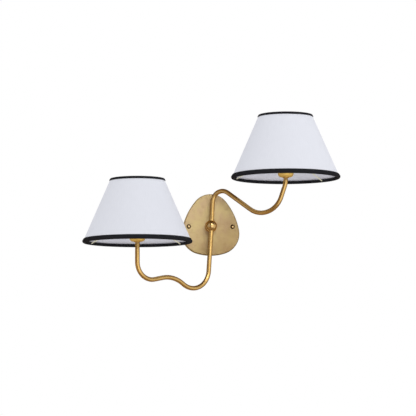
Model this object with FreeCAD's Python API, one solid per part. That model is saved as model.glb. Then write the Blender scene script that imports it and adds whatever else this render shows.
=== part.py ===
import FreeCAD, Part
import math
import os

# Double arm wall sconce: a pebble-shaped wall plate, one ball, two bent tubes and two cone shades.
# Millimetres, X to the right, Z up. The wall is the plane Y = 0 and the sconce stands out towards -Y.
# The origin is on the wall, half way between the two plate screws and on the line of the ball.

# Clearances
seat_gap = 0.3          # between pieces that turn past each other
plug_gap = 0.05         # radial, a plug or thread in its bore
hole_gap = 0.3          # radial, a screw in a plain hole

# Wall plate, a pressed brass pan
screw_spacing = 88.9
plate_side_margin = 14.0        # widest point beyond the screw line
plate_widest_below = 14.0       # depth of the widest point under the centre
plate_top = 66.3
plate_top_radius = 40.0
plate_side_radius = 130.0
plate_corner_radius = 42.0
plate_bottom_radius = 98.0
plate_depth = 10.0
plate_wall = 1.5
plate_edge_radius = 2.5

# Mounting bar behind the plate
bar_width = 26.0
bar_thickness = 2.0
bar_end_margin = 4.2            # beyond the plate screws
bar_corner_radius = 8.0
bar_wire_hole = 16.0
bar_slot_spacing = 69.85
bar_slot_length = 11.0
bar_slot_width = 4.8
tapped_boss_diameter = 7.4
tapped_boss_height = 1.5
ground_screw_reach = 19.0
ground_screw_drop = 6.0

# Screws
screw_diameter = 4.0
dome_diameter = 8.8
dome_height = 3.0
dome_rim = 0.6
ground_head_diameter = 7.0
ground_head_height = 2.4
screw_end_gap = 0.3             # screw tips stay this far off the wall

# Boss, ball and the hollow nipple that holds them to the plate
boss_diameter = 24.0
boss_height = 8.0
boss_edge_radius = 2.5
boss_neck_diameter = 13.0
boss_neck_height = 2.5
ball_diameter = 22.0
ball_seat_diameter = 12.4
nipple_diameter = 10.0
nipple_bore = 7.0
nipple_engagement = 4.0         # depth in the ball
nipple_tail = 0.8               # beyond its nut
washer_diameter = 19.0
washer_thickness = 1.0
nipple_nut_flats = 15.0
nipple_nut_height = 2.5

# Arm tubes
tube_diameter = 9.2
tube_wall = 1.0
bore_side_count = 8
tube_stop = 5.2                 # tube end to ball centre
lower_reach = 154.6             # sideways from the ball to the shade axis
lower_lean = 4.5                # degrees off plumb where the tube leaves the ball
lower_drop = 159.4
lower_crest_reach = 92.7
lower_crest_depth = 103.9
lower_trough_depth = 121.6
lower_bends = (39.0, 62.5, 33.7)
lower_tube_top = -44.2
upper_reach = 140.7
upper_lean = 3.1
upper_rise = 87.7
upper_trough_reach = 136.2
upper_trough_depth = 4.6
upper_straight = 7.0            # plumb end under the upper cup
upper_bends = (21.7, 45.6, 38.0)
upper_tube_top = 85.5

# Neck, cup and lock nut at the end of each tube
neck_plug_length = 8.0
waist_diameter = 8.4
waist_height = 2.5
flange_diameter = 12.0
flange_height = 1.7
stud_diameter = 8.0
stud_bore = 5.0
cup_diameter = 31.0
cup_round = 6.5
cup_wall = 1.0
cup_height = 16.0
cup_lip = 0.6
lock_nut_flats = 13.0
lock_nut_height = 3.0

# Lampholder
barrel_height = 18.8
barrel_gap = 0.3                # radial, in the cup
skirt_diameter = 27.6
stud_engagement = 7.0
holder_flange_diameter = 33.0
holder_flange_height = 2.4
rim_above_ring = 2.3
holder_cavity_depth = 23.0
shell_bore = 14.0
shell_wall = 0.5
shell_below_rim = 2.5
shell_above_floor = 1.0
contact_disc_diameter = 8.0
contact_disc_height = 0.8
contact_post_diameter = 4.0
contact_height = 2.2

# Shade: a cone of cloth on a stiff liner, with a wire ring and a folded trim at each end
shade_height = 128.0            # over both trims
shade_edge_rise = 1.2           # lower edge above the end of the tube
panel_bottom_radius = 108.6     # outside, at the lower edge
panel_top_radius = 52.7         # outside, at the upper edge
panel_wall = 1.0
ring_wire = 2.6
wire_side_count = 6
trim_fold = 0.8                 # thickness of the folded tape
trim_gap = 0.3
bottom_trim_height = 8.5
bottom_trim_bulge = 1.2            # the folded tape stands this far off the cloth
bottom_fold_height = 7.2
slit_floor = 1.2                # the fold is slit for the wire arms above this height
top_trim_height = 5.0
top_trim_bulge = 1.2
top_fold_height = 4.4

# Fitter that carries the shade, and the ring that clamps it
hub_above_edge = 39.0
hub_diameter = 40.0
hub_thickness = 1.2
arm_wire = 2.4
arm_level_run = 7.0
arm_bend_radius = 8.0
fitter_arms = 3
lower_fitter_turn = 0.0         # degrees, where the two shades happen to sit
upper_fitter_turn = 8.0
clamp_ring_diameter = 35.0
clamp_ring_height = 6.0
clamp_ring_grips = 8
grip_radius = 3.0
grip_depth = 1.0
wall_gap = 11.0                 # shade trim to wall

# Golf-ball bulb with a small screw cap
bulb_length = 78.0
bulb_diameter = 45.0
glass_wall = 0.8
bulb_neck_diameter = 14.8
glass_in_cap = 5.5
cap_gap = 0.05                  # radial, cap in the screw shell
cap_wall = 0.4
cap_height = 18.5
cap_floor_hole = 8.0
insulator_height = 2.8
insulator_collar = 1.5          # radial, how far it spreads over the cap's floor
tip_diameter = 4.8
tip_height = 1.2
tip_above_contact = 0.3

# Sizes that follow from the ones above
up = FreeCAD.Vector(0, 0, 1)
origin = FreeCAD.Vector(0, 0, 0)
ball_radius = ball_diameter / 2
ball_seat_depth = math.sqrt(ball_radius ** 2 - (ball_seat_diameter / 2) ** 2)
ball_seat_height = plate_depth + boss_height + boss_neck_height
ball_centre = FreeCAD.Vector(0, -(ball_seat_height + ball_seat_depth), 0)
tube_bore = tube_diameter - 2 * tube_wall
panel_slope = (panel_bottom_radius - panel_top_radius) / shade_height
bottom_trim_radius = panel_bottom_radius - panel_slope * trim_fold + trim_gap + trim_fold / 2
wall_distance = bottom_trim_radius + wall_gap

# Heights along a socket, measured up from the end of its tube
cup_base = waist_height + flange_height
lock_nut_base = cup_base + cup_wall
holder_base = lock_nut_base + lock_nut_height
shade_edge = shade_edge_rise
hub_base = shade_edge + hub_above_edge
holder_shoulder = hub_base - seat_gap
ring_base = hub_base + hub_thickness + seat_gap
holder_rim = ring_base + clamp_ring_height + rim_above_ring
cavity_floor = holder_rim - holder_cavity_depth
shell_base = cavity_floor + shell_above_floor
shell_top = holder_rim - shell_below_rim
contact_top = cavity_floor + contact_height
bulb_tip = contact_top + tip_above_contact
cap_radius = shell_bore / 2 - cap_gap
cap_base = bulb_tip + tip_height + insulator_height
cap_top = cap_base + cap_height


def save(name, shape):
    shape.exportStep("parts/" + name + ".step")


def profile(corners):
    """A flat face in the XZ plane; a corner with four values is reached by an arc through its last two."""
    edges = []
    for start, end in zip(corners, corners[1:] + corners[:1]):
        first = FreeCAD.Vector(start[0], 0, start[1])
        last = FreeCAD.Vector(end[0], 0, end[1])
        if len(end) == 4:
            through = FreeCAD.Vector(end[2], 0, end[3])
            edges.append(Part.Arc(first, through, last).toShape())
        else:
            edges.append(Part.LineSegment(first, last).toShape())
    return Part.Face(Part.Wire(edges))


def turned(corners, foot=origin):
    """A turned piece: corners are radius and height, and the axis stands upright on foot."""
    solid = profile(corners).revolve(origin, up, 360)
    solid.translate(foot)
    return solid


def chords(centre_r, centre_z, radius, start, end, count):
    """Points along an arc of a profile, from start to end in degrees, joined by short straight facets."""
    angles = [math.radians(start + (end - start) * n / count) for n in range(count + 1)]
    return [(centre_r + radius * math.cos(a), centre_z + radius * math.sin(a)) for a in angles]


def off_wall(solid, x=0.0, z=0.0):
    """Lays an upright piece down, so that its height counts from the wall."""
    solid.rotate(origin, FreeCAD.Vector(1, 0, 0), 90)
    solid.translate(FreeCAD.Vector(x, 0, z))
    return solid


def hexagon(flats, base, height, bore_radius):
    """A plain nut."""
    corner = flats / math.sqrt(3)
    turns = [math.radians(60 * n) for n in range(7)]
    points = [FreeCAD.Vector(corner * math.cos(a), corner * math.sin(a), base) for a in turns]
    nut = Part.Face(Part.makePolygon(points)).extrude(up * height)
    return nut.cut(Part.makeCylinder(bore_radius, height, up * base))


# Wall plate

def circle_crossing(a, radius_a, b, radius_b):
    """Where two circles cross, on the left of the way from a to b."""
    way = b - a
    along = (radius_a ** 2 - radius_b ** 2 + way.Length ** 2) / (2 * way.Length)
    aside = math.sqrt(radius_a ** 2 - along ** 2)
    way.normalize()
    return a + way * along + FreeCAD.Vector(-way.z, 0, way.x) * aside


def pebble(inset):
    """The plate's outline: six tangent arcs, all drawn in by inset."""
    half_width = screw_spacing / 2 + plate_side_margin
    top = FreeCAD.Vector(0, 0, plate_top - plate_top_radius)
    corner = FreeCAD.Vector(half_width - plate_corner_radius, 0, -plate_widest_below)
    side = circle_crossing(
        corner, plate_side_radius - plate_corner_radius, top, plate_side_radius - plate_top_radius
    )
    rise = math.sqrt((plate_bottom_radius - plate_corner_radius) ** 2 - corner.x ** 2)
    bottom = FreeCAD.Vector(0, 0, corner.z + rise)

    def reach(centre, radius, towards):
        way = FreeCAD.Vector(towards)
        way.normalize()
        return centre + way * (radius - inset)

    top_end = reach(top, plate_top_radius, top - side)
    side_end = reach(corner, plate_corner_radius, corner - side)
    corner_end = reach(corner, plate_corner_radius, corner - bottom)
    side_middle = reach(side, plate_side_radius, top_end + side_end - side * 2)
    corner_middle = reach(corner, plate_corner_radius, side_end + corner_end - corner * 2)
    summit = reach(top, plate_top_radius, up)
    base = reach(bottom, plate_bottom_radius, -up)

    def mirrored(point):
        return FreeCAD.Vector(-point.x, 0, point.z)

    arcs = [
        (mirrored(top_end), summit, top_end),
        (top_end, side_middle, side_end),
        (side_end, corner_middle, corner_end),
        (corner_end, base, mirrored(corner_end)),
        (mirrored(corner_end), mirrored(corner_middle), mirrored(side_end)),
        (mirrored(side_end), mirrored(side_middle), mirrored(top_end)),
    ]
    return Part.Face(Part.Wire([Part.Arc(*arc).toShape() for arc in arcs]))


def front_edges(solid, depth):
    return [edge for edge in solid.Edges if abs(edge.BoundBox.YMin + depth) < 0.001
            and abs(edge.BoundBox.YMax + depth) < 0.001]


def hole(radius, x, z, depth):
    """A drill that leaves the wall and runs out past depth."""
    start = FreeCAD.Vector(x, 1, z)
    return Part.makeCylinder(radius, depth + 2, start, FreeCAD.Vector(0, -1, 0))


def wall_plate():
    out = FreeCAD.Vector(0, -1, 0)
    shell = pebble(0).extrude(out * plate_depth)
    shell = shell.makeFillet(plate_edge_radius, front_edges(shell, plate_depth))
    shell = shell.cut(pebble(plate_wall).extrude(out * (plate_depth - plate_wall)))
    shell = shell.cut(hole(nipple_diameter / 2 + hole_gap, 0, 0, plate_depth))
    for side in (-1, 1):
        x = side * screw_spacing / 2
        shell = shell.cut(hole(screw_diameter / 2 + hole_gap, x, 0, plate_depth))
    return shell


def mounting_bar():
    length = screw_spacing + 2 * bar_end_margin
    corner = FreeCAD.Vector(-length / 2, -bar_thickness, -bar_width / 2)
    bar = Part.makeBox(length, bar_thickness, bar_width, corner)
    ends = [edge for edge in bar.Edges if edge.BoundBox.YLength > bar_thickness / 2]
    bar = bar.makeFillet(bar_corner_radius, ends)
    for side in (-1, 1):
        x = side * screw_spacing / 2
        boss = Part.makeCylinder(
            tapped_boss_diameter / 2, bar_thickness + tapped_boss_height,
            FreeCAD.Vector(x, 0, 0), FreeCAD.Vector(0, -1, 0)
        )
        bar = bar.fuse(boss)
    reach = bar_thickness + tapped_boss_height
    for side in (-1, 1):
        bar = bar.cut(hole(screw_diameter / 2 + plug_gap, side * screw_spacing / 2, 0, reach))
        slot_x = side * bar_slot_spacing / 2
        flat = (bar_slot_length - bar_slot_width) / 2
        for step in (-1, 1):
            bar = bar.cut(hole(bar_slot_width / 2, slot_x + step * flat, 0, reach))
        middle = FreeCAD.Vector(slot_x - flat, -reach, -bar_slot_width / 2)
        bar = bar.cut(Part.makeBox(2 * flat, reach + 1, bar_slot_width, middle))
    bar = bar.cut(hole(bar_wire_hole / 2, 0, 0, reach))
    bar = bar.cut(hole(screw_diameter / 2 + plug_gap, ground_screw_reach, -ground_screw_drop, reach))
    return bar


def plate_screw(x):
    shank = screw_diameter / 2
    head = dome_diameter / 2
    shoulder = plate_depth + dome_rim
    swell = dome_height - dome_rim
    dome_radius = (head ** 2 + swell ** 2) / (2 * swell)
    middle = plate_depth + dome_height - dome_radius
    rim_angle = math.degrees(math.asin((shoulder - middle) / dome_radius))
    corners = [(0, screw_end_gap), (shank, screw_end_gap), (shank, plate_depth), (head, plate_depth)]
    corners += chords(0, middle, dome_radius, rim_angle, 90, 3)
    return off_wall(turned(corners), x)


def ground_screw():
    shank = screw_diameter / 2
    under_head = bar_thickness
    head = hexagon(ground_head_diameter, under_head, ground_head_height, shank / 4)
    washer = Part.makeCylinder(ground_head_diameter / 2 + 1, ground_head_height / 4, up * under_head)
    pin = Part.makeCylinder(shank, under_head - screw_end_gap + ground_head_height, up * screw_end_gap)
    screw = head.fuse([washer, pin])
    return off_wall(screw.removeSplitter(), ground_screw_reach, -ground_screw_drop)


# Boss, ball and nipple

def centre_boss():
    outer = boss_diameter / 2
    neck = boss_neck_diameter / 2
    bore = nipple_diameter / 2 + plug_gap
    front = plate_depth + boss_height
    corners = [(bore, plate_depth), (outer, plate_depth)]
    corners += chords(outer - boss_edge_radius, front - boss_edge_radius, boss_edge_radius, 0, 90, 3)
    corners += [(neck, front), (neck, ball_seat_height), (bore, ball_seat_height)]
    return off_wall(turned(corners))


def plan_way(x):
    """Level direction from the ball to the shade axis at x."""
    way = FreeCAD.Vector(x, -(wall_distance + ball_centre.y), 0)
    way.normalize()
    return way


def leaning(plan, lean, rise):
    """The direction in which a tube leaves the ball; rise is 1 upwards and -1 downwards."""
    angle = math.radians(lean)
    return plan * math.sin(angle) + up * (rise * math.cos(angle))


lower_plan = plan_way(-lower_reach)
upper_plan = plan_way(upper_reach)
lower_way = leaning(lower_plan, lower_lean, -1)
upper_way = leaning(upper_plan, upper_lean, 1)


def ball():
    body = Part.makeSphere(ball_radius)
    body.translate(ball_centre)
    seat = Part.makeCylinder(ball_radius, ball_radius, origin, FreeCAD.Vector(0, 1, 0))
    seat.translate(ball_centre + FreeCAD.Vector(0, ball_seat_depth, 0))
    body = body.cut(seat)
    back = FreeCAD.Vector(0, 1, 0)
    depth = ball_seat_depth - nipple_engagement
    start = ball_centre + back * depth
    body = body.cut(Part.makeCylinder(nipple_diameter / 2 + plug_gap, ball_radius, start, back))
    body = body.cut(Part.makeCylinder(nipple_bore / 2, ball_radius, ball_centre, back))
    for way in (lower_way, upper_way):
        socket = Part.makeCylinder(
            tube_diameter / 2 + plug_gap, ball_radius, ball_centre + way * tube_stop, way
        )
        passage = Part.makeCylinder(tube_bore / 2, ball_radius, ball_centre, way)
        body = body.cut(socket).cut(passage)
    return body


def nipple():
    nut_face = plate_depth - plate_wall - washer_thickness - nipple_nut_height
    tail = nut_face - nipple_tail
    length = ball_seat_height + nipple_engagement - tail
    tube = Part.makeCylinder(nipple_diameter / 2, length, up * tail)
    tube = tube.cut(Part.makeCylinder(nipple_bore / 2, length, up * tail))
    return off_wall(tube)


def nipple_washer():
    face = plate_depth - plate_wall - washer_thickness
    washer = Part.makeCylinder(washer_diameter / 2, washer_thickness, up * face)
    bore = Part.makeCylinder(nipple_diameter / 2 + plug_gap, washer_thickness, up * face)
    return off_wall(washer.cut(bore))


def nipple_nut():
    face = plate_depth - plate_wall - washer_thickness - nipple_nut_height
    return off_wall(hexagon(nipple_nut_flats, face, nipple_nut_height, nipple_diameter / 2 + plug_gap))


# Arm tubes

def bent_wire(corners, radii):
    """Straight runs with a tangent arc at each inner corner, made smaller where two arcs would meet."""
    count = len(corners) - 1
    runs = [corners[n + 1] - corners[n] for n in range(count)]
    turns = [runs[n].getAngle(runs[n + 1]) for n in range(count - 1)]
    tangents = [radius * math.tan(turn / 2) for radius, turn in zip(radii, turns)]
    spare = 0.97
    for n, run in enumerate(runs):
        used = sum(tangents[max(n - 1, 0):n + 1])
        if used > run.Length * spare:
            share = run.Length * spare / used
            for near in range(max(n - 1, 0), min(n + 1, len(tangents))):
                tangents[near] *= share
    edges = []
    here = corners[0]
    for n, tangent in enumerate(tangents):
        corner = corners[n + 1]
        back = -runs[n]
        ahead = FreeCAD.Vector(runs[n + 1])
        back.normalize()
        ahead.normalize()
        start = corner + back * tangent
        end = corner + ahead * tangent
        inward = back + ahead
        inward.normalize()
        radius = tangent / math.tan(turns[n] / 2)
        to_centre = radius / math.cos(turns[n] / 2)
        middle = corner + inward * (to_centre - radius)
        edges.append(Part.LineSegment(here, start).toShape())
        edges.append(Part.Arc(start, middle, end).toShape())
        here = end
    edges.append(Part.LineSegment(here, corners[-1]).toShape())
    return Part.Wire(edges)


def swept(path, radius, side_count=0):
    """A rod along a path: round, or with flat sides where nobody sees it."""
    first = path.Edges[0]
    start = first.valueAt(first.FirstParameter)
    way = first.tangentAt(first.FirstParameter)
    section = Part.Wire([Part.makeCircle(radius, start, way)])
    if side_count:
        section = Part.makePolygon(section.discretize(side_count + 1))
    return path.makePipeShell([section], True, False)


def arm_tube(points, plan, way, radii):
    """A tube bent in the upright plane through the ball and the shade's axis."""
    corners = [ball_centre + way * tube_stop]
    corners += [ball_centre + plan * r + up * z for r, z in points]
    path = bent_wire(corners, radii)
    tube = swept(path, tube_diameter / 2).cut(swept(path, tube_bore / 2 - plug_gap, bore_side_count))
    seat_length = neck_plug_length + seat_gap
    return tube.cut(Part.makeCylinder(tube_bore / 2, seat_length, corners[-1] - up * seat_length))


def lower_arm():
    span = math.hypot(lower_reach, wall_distance + ball_centre.y)
    points = [
        (lower_drop * math.tan(math.radians(lower_lean)), -lower_drop),
        (lower_crest_reach, -lower_crest_depth),
        (span, -lower_trough_depth),
        (span, lower_tube_top),
    ]
    return arm_tube(points, lower_plan, lower_way, lower_bends)


def upper_arm():
    span = math.hypot(upper_reach, wall_distance + ball_centre.y)
    points = [
        (upper_rise * math.tan(math.radians(upper_lean)), upper_rise),
        (upper_trough_reach, -upper_trough_depth),
        (span, upper_tube_top - upper_straight),
        (span, upper_tube_top),
    ]
    return arm_tube(points, upper_plan, upper_way, upper_bends)


# Socket pieces

def neck(foot):
    plug = tube_bore / 2 - plug_gap
    stud = stud_diameter / 2
    bore = stud_bore / 2
    stud_top = holder_base + stud_engagement
    corners = [
        (bore, -neck_plug_length), (plug, -neck_plug_length), (plug, 0), (waist_diameter / 2, 0),
        (waist_diameter / 2, waist_height), (flange_diameter / 2, waist_height),
        (flange_diameter / 2, cup_base), (stud, cup_base), (stud, stud_top), (bore, stud_top),
    ]
    return turned(corners, foot)


def cup(foot):
    outer = cup_diameter / 2
    inner = outer - cup_wall
    hole_radius = stud_diameter / 2 + hole_gap
    bend_r = outer - cup_round
    bend_z = cup_base + cup_round
    top = cup_base + cup_height
    corners = [(hole_radius, cup_base)] + chords(bend_r, bend_z, cup_round, -90, 0, 4)
    corners += [
        (outer, top - 2 * cup_lip), (outer + cup_lip, top - 2 * cup_lip), (outer + cup_lip, top),
        (inner, top),
    ]
    corners += chords(bend_r, bend_z, cup_round - cup_wall, 0, -90, 2)
    corners.append((hole_radius, lock_nut_base))
    return turned(corners, foot)


def lock_nut(foot):
    nut = hexagon(lock_nut_flats, lock_nut_base, lock_nut_height, stud_diameter / 2 + plug_gap)
    nut.translate(foot)
    return nut


def lampholder(foot):
    bore = stud_diameter / 2 + plug_gap
    barrel = cup_diameter / 2 - cup_wall - barrel_gap
    skirt = skirt_diameter / 2
    flange = holder_flange_diameter / 2
    cavity = shell_bore / 2 + shell_wall + seat_gap
    bore_top = holder_base + stud_engagement + seat_gap
    barrel_top = holder_base + barrel_height
    foot_radius = barrel - (cup_round - cup_wall) * (1 - math.cos(math.radians(45)))
    flange_base = holder_shoulder - holder_flange_height
    corners = [
        (0, bore_top), (bore, bore_top), (bore, holder_base), (foot_radius, holder_base),
        (barrel, cup_base + cup_round), (barrel, barrel_top), (skirt, barrel_top), (skirt, flange_base),
        (flange, flange_base), (flange, holder_shoulder), (skirt, holder_shoulder),
        (skirt, holder_rim), (cavity, holder_rim), (cavity, cavity_floor), (0, cavity_floor),
    ]
    return turned(corners, foot)


def screw_shell(foot):
    inner = shell_bore / 2
    outer = inner + shell_wall
    return turned([(inner, shell_base), (outer, shell_base), (outer, shell_top), (inner, shell_top)], foot)


def centre_contact(foot):
    disc = contact_disc_diameter / 2
    post = contact_post_diameter / 2
    shelf = cavity_floor + contact_disc_height
    corners = [
        (0, cavity_floor), (disc, cavity_floor), (disc, shelf), (post, shelf),
        (post, contact_top), (0, contact_top),
    ]
    return turned(corners, foot)


# Shade

def panel_radius(height):
    """Outside of the cloth cone at a height above the shade's lower edge."""
    return panel_bottom_radius - panel_slope * height


def shade_panel(foot):
    low = trim_fold
    high = shade_height - trim_fold
    corners = [
        (panel_radius(low), low), (panel_radius(high), high),
        (panel_radius(high) - panel_wall, high), (panel_radius(low) - panel_wall, low),
    ]
    return turned(corners, foot + up * shade_edge)


def wire_ring_radius(height):
    """A ring wire lies just inside the cloth, measured where the cone is narrower."""
    return panel_radius(height + ring_wire / 2) - panel_wall - trim_gap - ring_wire / 2


bottom_ring_height = trim_fold + trim_gap + ring_wire / 2
top_ring_height = shade_height - bottom_ring_height
bottom_ring_radius = wire_ring_radius(bottom_ring_height)
top_ring_radius = wire_ring_radius(top_ring_height)


def wire_ring(radius, height):
    """A ring whose wire is drawn with flats."""
    return turned(chords(radius, height, ring_wire / 2, 0, 360, wire_side_count)[:-1])


def trim(end, height, bulge, fold_height, ring_radius, foot):
    """Folded tape round one end of the shade; end is 1 at the lower edge and -1 at the upper edge."""
    edge = 0 if end > 0 else shade_height
    tape = trim_fold

    def at(distance):
        return edge + end * distance

    def outside(distance):
        return panel_radius(at(distance)) + trim_gap

    fold = ring_radius - ring_wire / 2 - trim_gap
    corners = [
        (outside(height), at(height)), (outside(height) + tape, at(height - tape / 2)),
        (outside(height * 0.6) + bulge, at(height * 0.6)),
        (outside(height * 0.3) + bulge, at(height * 0.3)),
        (outside(tape) + tape / 2, at(tape / 2)), (outside(tape) - tape / 2, at(0)),
        (fold - tape, at(0)), (fold - tape, at(fold_height)), (fold, at(fold_height)),
        (fold, at(tape)), (outside(tape), at(tape)),
    ]
    return turned(corners, foot + up * shade_edge)


def fitter_angles(turn):
    """Arm directions seen from above; unturned, one arm points away from the wall."""
    return [turn - 90 + 360 * n / fitter_arms for n in range(fitter_arms)]


def bottom_trim(turn, foot):
    tape = trim(1, bottom_trim_height, bottom_trim_bulge, bottom_fold_height, bottom_ring_radius, foot)
    width = arm_wire + 2 * trim_gap
    fold = bottom_ring_radius - ring_wire / 2 - trim_gap
    for angle in fitter_angles(turn):
        start = FreeCAD.Vector(fold - trim_fold - trim_gap, -width / 2, slit_floor)
        slit = Part.makeBox(trim_fold + 2 * trim_gap, width, bottom_fold_height, start)
        slit.rotate(origin, up, angle)
        slit.translate(foot + up * shade_edge)
        tape = tape.cut(slit)
    return tape


def fitter_hub(foot):
    """Hub plate that sits on the lampholder's flange."""
    bore = skirt_diameter / 2 + seat_gap
    hub = Part.makeCylinder(hub_diameter / 2, hub_thickness, up * hub_above_edge)
    hub = hub.cut(Part.makeCylinder(bore, hub_thickness, up * hub_above_edge))
    hub.translate(foot + up * shade_edge)
    return hub


def fitter_wires(turn, foot):
    """Wire arms, welded to the rim of the hub and to the lower ring."""
    middle = hub_above_edge + hub_thickness / 2
    rim = Part.makeCylinder(hub_diameter / 2, 2 * arm_wire, up * (middle - arm_wire))
    ring = wire_ring(bottom_ring_radius, bottom_ring_height)
    corners = [
        FreeCAD.Vector(hub_diameter / 2 - arm_wire, 0, middle),
        FreeCAD.Vector(hub_diameter / 2 + arm_level_run, 0, middle),
        FreeCAD.Vector(bottom_ring_radius - ring_wire / 4, 0, bottom_ring_height),
    ]
    arms = []
    for angle in fitter_angles(turn):
        arm = swept(bent_wire(corners, [arm_bend_radius]), arm_wire / 2, wire_side_count)
        arm.rotate(origin, up, angle)
        arms.append(arm.cut(rim).cut(ring))
    arms = Part.makeCompound(arms)
    arms.translate(foot + up * shade_edge)
    return arms


def clamp_ring(foot):
    outer = clamp_ring_diameter / 2
    bore = skirt_diameter / 2 + plug_gap
    ring = Part.makeCylinder(outer, clamp_ring_height, up * ring_base)
    ring = ring.cut(Part.makeCylinder(bore, clamp_ring_height, up * ring_base))
    for n in range(clamp_ring_grips):
        angle = 2 * math.pi * n / clamp_ring_grips
        away = outer + grip_radius - grip_depth
        start = FreeCAD.Vector(away * math.cos(angle), away * math.sin(angle), ring_base)
        ring = ring.cut(Part.makeCylinder(grip_radius, clamp_ring_height, start))
    ring.translate(foot)
    return ring


# Bulb

def pear(shrink, low, facets):
    """The bulb's outline, drawn in by shrink: a straight neck, then a cone that meets the ball of glass."""
    radius = bulb_diameter / 2 - shrink
    centre = bulb_tip + bulb_length - bulb_diameter / 2
    neck_r = bulb_neck_diameter / 2 - shrink
    inside_cap = cap_radius - cap_wall - 2 * plug_gap - shrink
    shoulder = cap_top + seat_gap + shrink
    drop = centre - shoulder
    far = math.hypot(neck_r, drop)
    meet = math.atan2(-drop, neck_r) + math.acos(radius / far)
    corners = [(0, low), (inside_cap, low), (inside_cap, shoulder), (neck_r, shoulder)]
    return corners + chords(0, centre, radius, math.degrees(meet), 90, facets)


def bulb_glass(foot):
    low = cap_top - glass_in_cap
    return turned(pear(0, low, 9), foot).cut(turned(pear(glass_wall, low + glass_wall, 5), foot))


def bulb_cap(foot):
    inner = cap_radius - cap_wall
    floor_hole = cap_floor_hole / 2
    corners = [
        (floor_hole, cap_base), (cap_radius - 1, cap_base), (cap_radius, cap_base + 1),
        (cap_radius, cap_top), (inner, cap_top), (inner, cap_base + 1 + cap_wall),
        (inner - 1, cap_base + cap_wall), (floor_hole, cap_base + cap_wall),
    ]
    return turned(corners, foot)


def bulb_insulator(foot):
    tip = tip_diameter / 2
    base = bulb_tip + tip_height
    corners = [(0, base), (tip, base), (cap_floor_hole / 2 + insulator_collar, cap_base), (0, cap_base)]
    return turned(corners, foot)


def bulb_contact(foot):
    tip = tip_diameter / 2
    top = bulb_tip + tip_height
    corners = [(0, bulb_tip), (tip / 2, bulb_tip), (tip, top - tip_height / 3), (tip, top), (0, top)]
    return turned(corners, foot)


def build():
    os.makedirs("parts", exist_ok=True)
    save("backplate", wall_plate())
    save("mounting_bar", mounting_bar())
    save("ground_screw", ground_screw())
    half = screw_spacing / 2
    save("plate_screws", Part.makeCompound([plate_screw(-half), plate_screw(half)]))
    save("centre_boss", centre_boss())
    save("ball_joint", ball())
    save("centre_nipple", nipple())
    save("nipple_washer", nipple_washer())
    save("nipple_nut", nipple_nut())
    save("lower_arm_tube", lower_arm())
    save("upper_arm_tube", upper_arm())
    lamps = (
        ("lower_", -lower_reach, lower_tube_top, lower_fitter_turn),
        ("upper_", upper_reach, upper_tube_top, upper_fitter_turn),
    )
    for name, x, tube_top, turn in lamps:
        foot = FreeCAD.Vector(x, -wall_distance, tube_top)
        save(name + "neck", neck(foot))
        save(name + "cup", cup(foot))
        save(name + "lock_nut", lock_nut(foot))
        save(name + "lampholder", lampholder(foot))
        save(name + "screw_shell", screw_shell(foot))
        save(name + "centre_contact", centre_contact(foot))
        save(name + "shade_panel", shade_panel(foot))
        for end, radius, height in (
            ("top_ring", top_ring_radius, top_ring_height),
            ("bottom_ring", bottom_ring_radius, bottom_ring_height),
        ):
            ring = wire_ring(radius, height)
            ring.translate(foot + up * shade_edge)
            save(name + end, ring)
        save(name + "top_trim", trim(
            -1, top_trim_height, top_trim_bulge, top_fold_height, top_ring_radius, foot))
        save(name + "bottom_trim", bottom_trim(turn, foot))
        save(name + "fitter_hub", fitter_hub(foot))
        save(name + "fitter_wires", fitter_wires(turn, foot))
        save(name + "clamp_ring", clamp_ring(foot))
        save(name + "bulb_glass", bulb_glass(foot))
        save(name + "bulb_cap", bulb_cap(foot))
        save(name + "bulb_insulator", bulb_insulator(foot))
        save(name + "bulb_contact", bulb_contact(foot))


build()
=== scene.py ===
import math

import bmesh
import bpy
from mathutils import Matrix, Vector


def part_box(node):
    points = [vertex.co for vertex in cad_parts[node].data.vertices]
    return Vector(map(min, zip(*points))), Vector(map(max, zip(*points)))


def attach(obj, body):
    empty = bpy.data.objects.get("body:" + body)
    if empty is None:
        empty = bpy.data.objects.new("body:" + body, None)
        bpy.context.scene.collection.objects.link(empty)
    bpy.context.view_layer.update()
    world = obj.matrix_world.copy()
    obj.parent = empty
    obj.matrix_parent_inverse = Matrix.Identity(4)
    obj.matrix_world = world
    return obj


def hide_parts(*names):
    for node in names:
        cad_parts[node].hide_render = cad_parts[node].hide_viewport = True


# Double arm wall sconce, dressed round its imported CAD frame. X right, Z up, the wall at Y = 0.
# The scene is in metres. Sizes of the object are in millimetres and follow the CAD source's values; a few
# are a touch smaller, so that nothing reaches past the CAD's box.

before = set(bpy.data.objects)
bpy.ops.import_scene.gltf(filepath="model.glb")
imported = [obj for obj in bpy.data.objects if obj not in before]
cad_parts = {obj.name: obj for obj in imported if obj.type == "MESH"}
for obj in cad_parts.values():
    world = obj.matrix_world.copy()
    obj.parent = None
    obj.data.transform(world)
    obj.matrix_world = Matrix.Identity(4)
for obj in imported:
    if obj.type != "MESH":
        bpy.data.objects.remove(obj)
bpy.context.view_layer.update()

MM = 0.001
UP = Vector((0, 0, 1))
TO_ROOM = Matrix.Rotation(math.radians(90), 4, "X")    # turns a shape's axis from upright to out of the wall
WELD = 1e-7                # metres; points nearer than this are one
ROUNDING_STEPS = 8         # pieces of a small rounding's arc

# Sizes on the wall

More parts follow.
